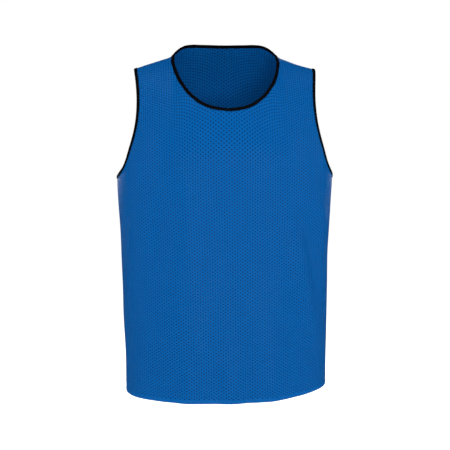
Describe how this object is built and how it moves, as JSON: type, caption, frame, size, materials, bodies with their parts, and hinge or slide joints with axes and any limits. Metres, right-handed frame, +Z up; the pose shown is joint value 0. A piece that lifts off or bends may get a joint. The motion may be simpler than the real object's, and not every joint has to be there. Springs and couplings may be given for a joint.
{
  "type": "mesh training bib",
  "caption": "Sleeveless mesh training bib with a round neck and bound edges, hollow and filled out as if worn.",
  "frame": {"origin": "midway between the inner ends of the two shoulder seams, at their height, where the wearer's shoulders carry the bib", "axes": "+Z up, -Y towards the front of the bib, +X towards its right side as seen from the front"},
  "size_m": [0.4548, 0.2967, 0.7298],
  "materials": {
    "blue_mesh": "soft sheen, knitted with small holes",
    "black_tape": "matte folded binding tape"
  },
  "bodies": {
    "root": {"front_panel": "blue_mesh", "back_panel": "blue_mesh", "neck_binding": "black_tape", "left_armhole_binding": "black_tape", "right_armhole_binding": "black_tape"}
  },
  "joints": []
}
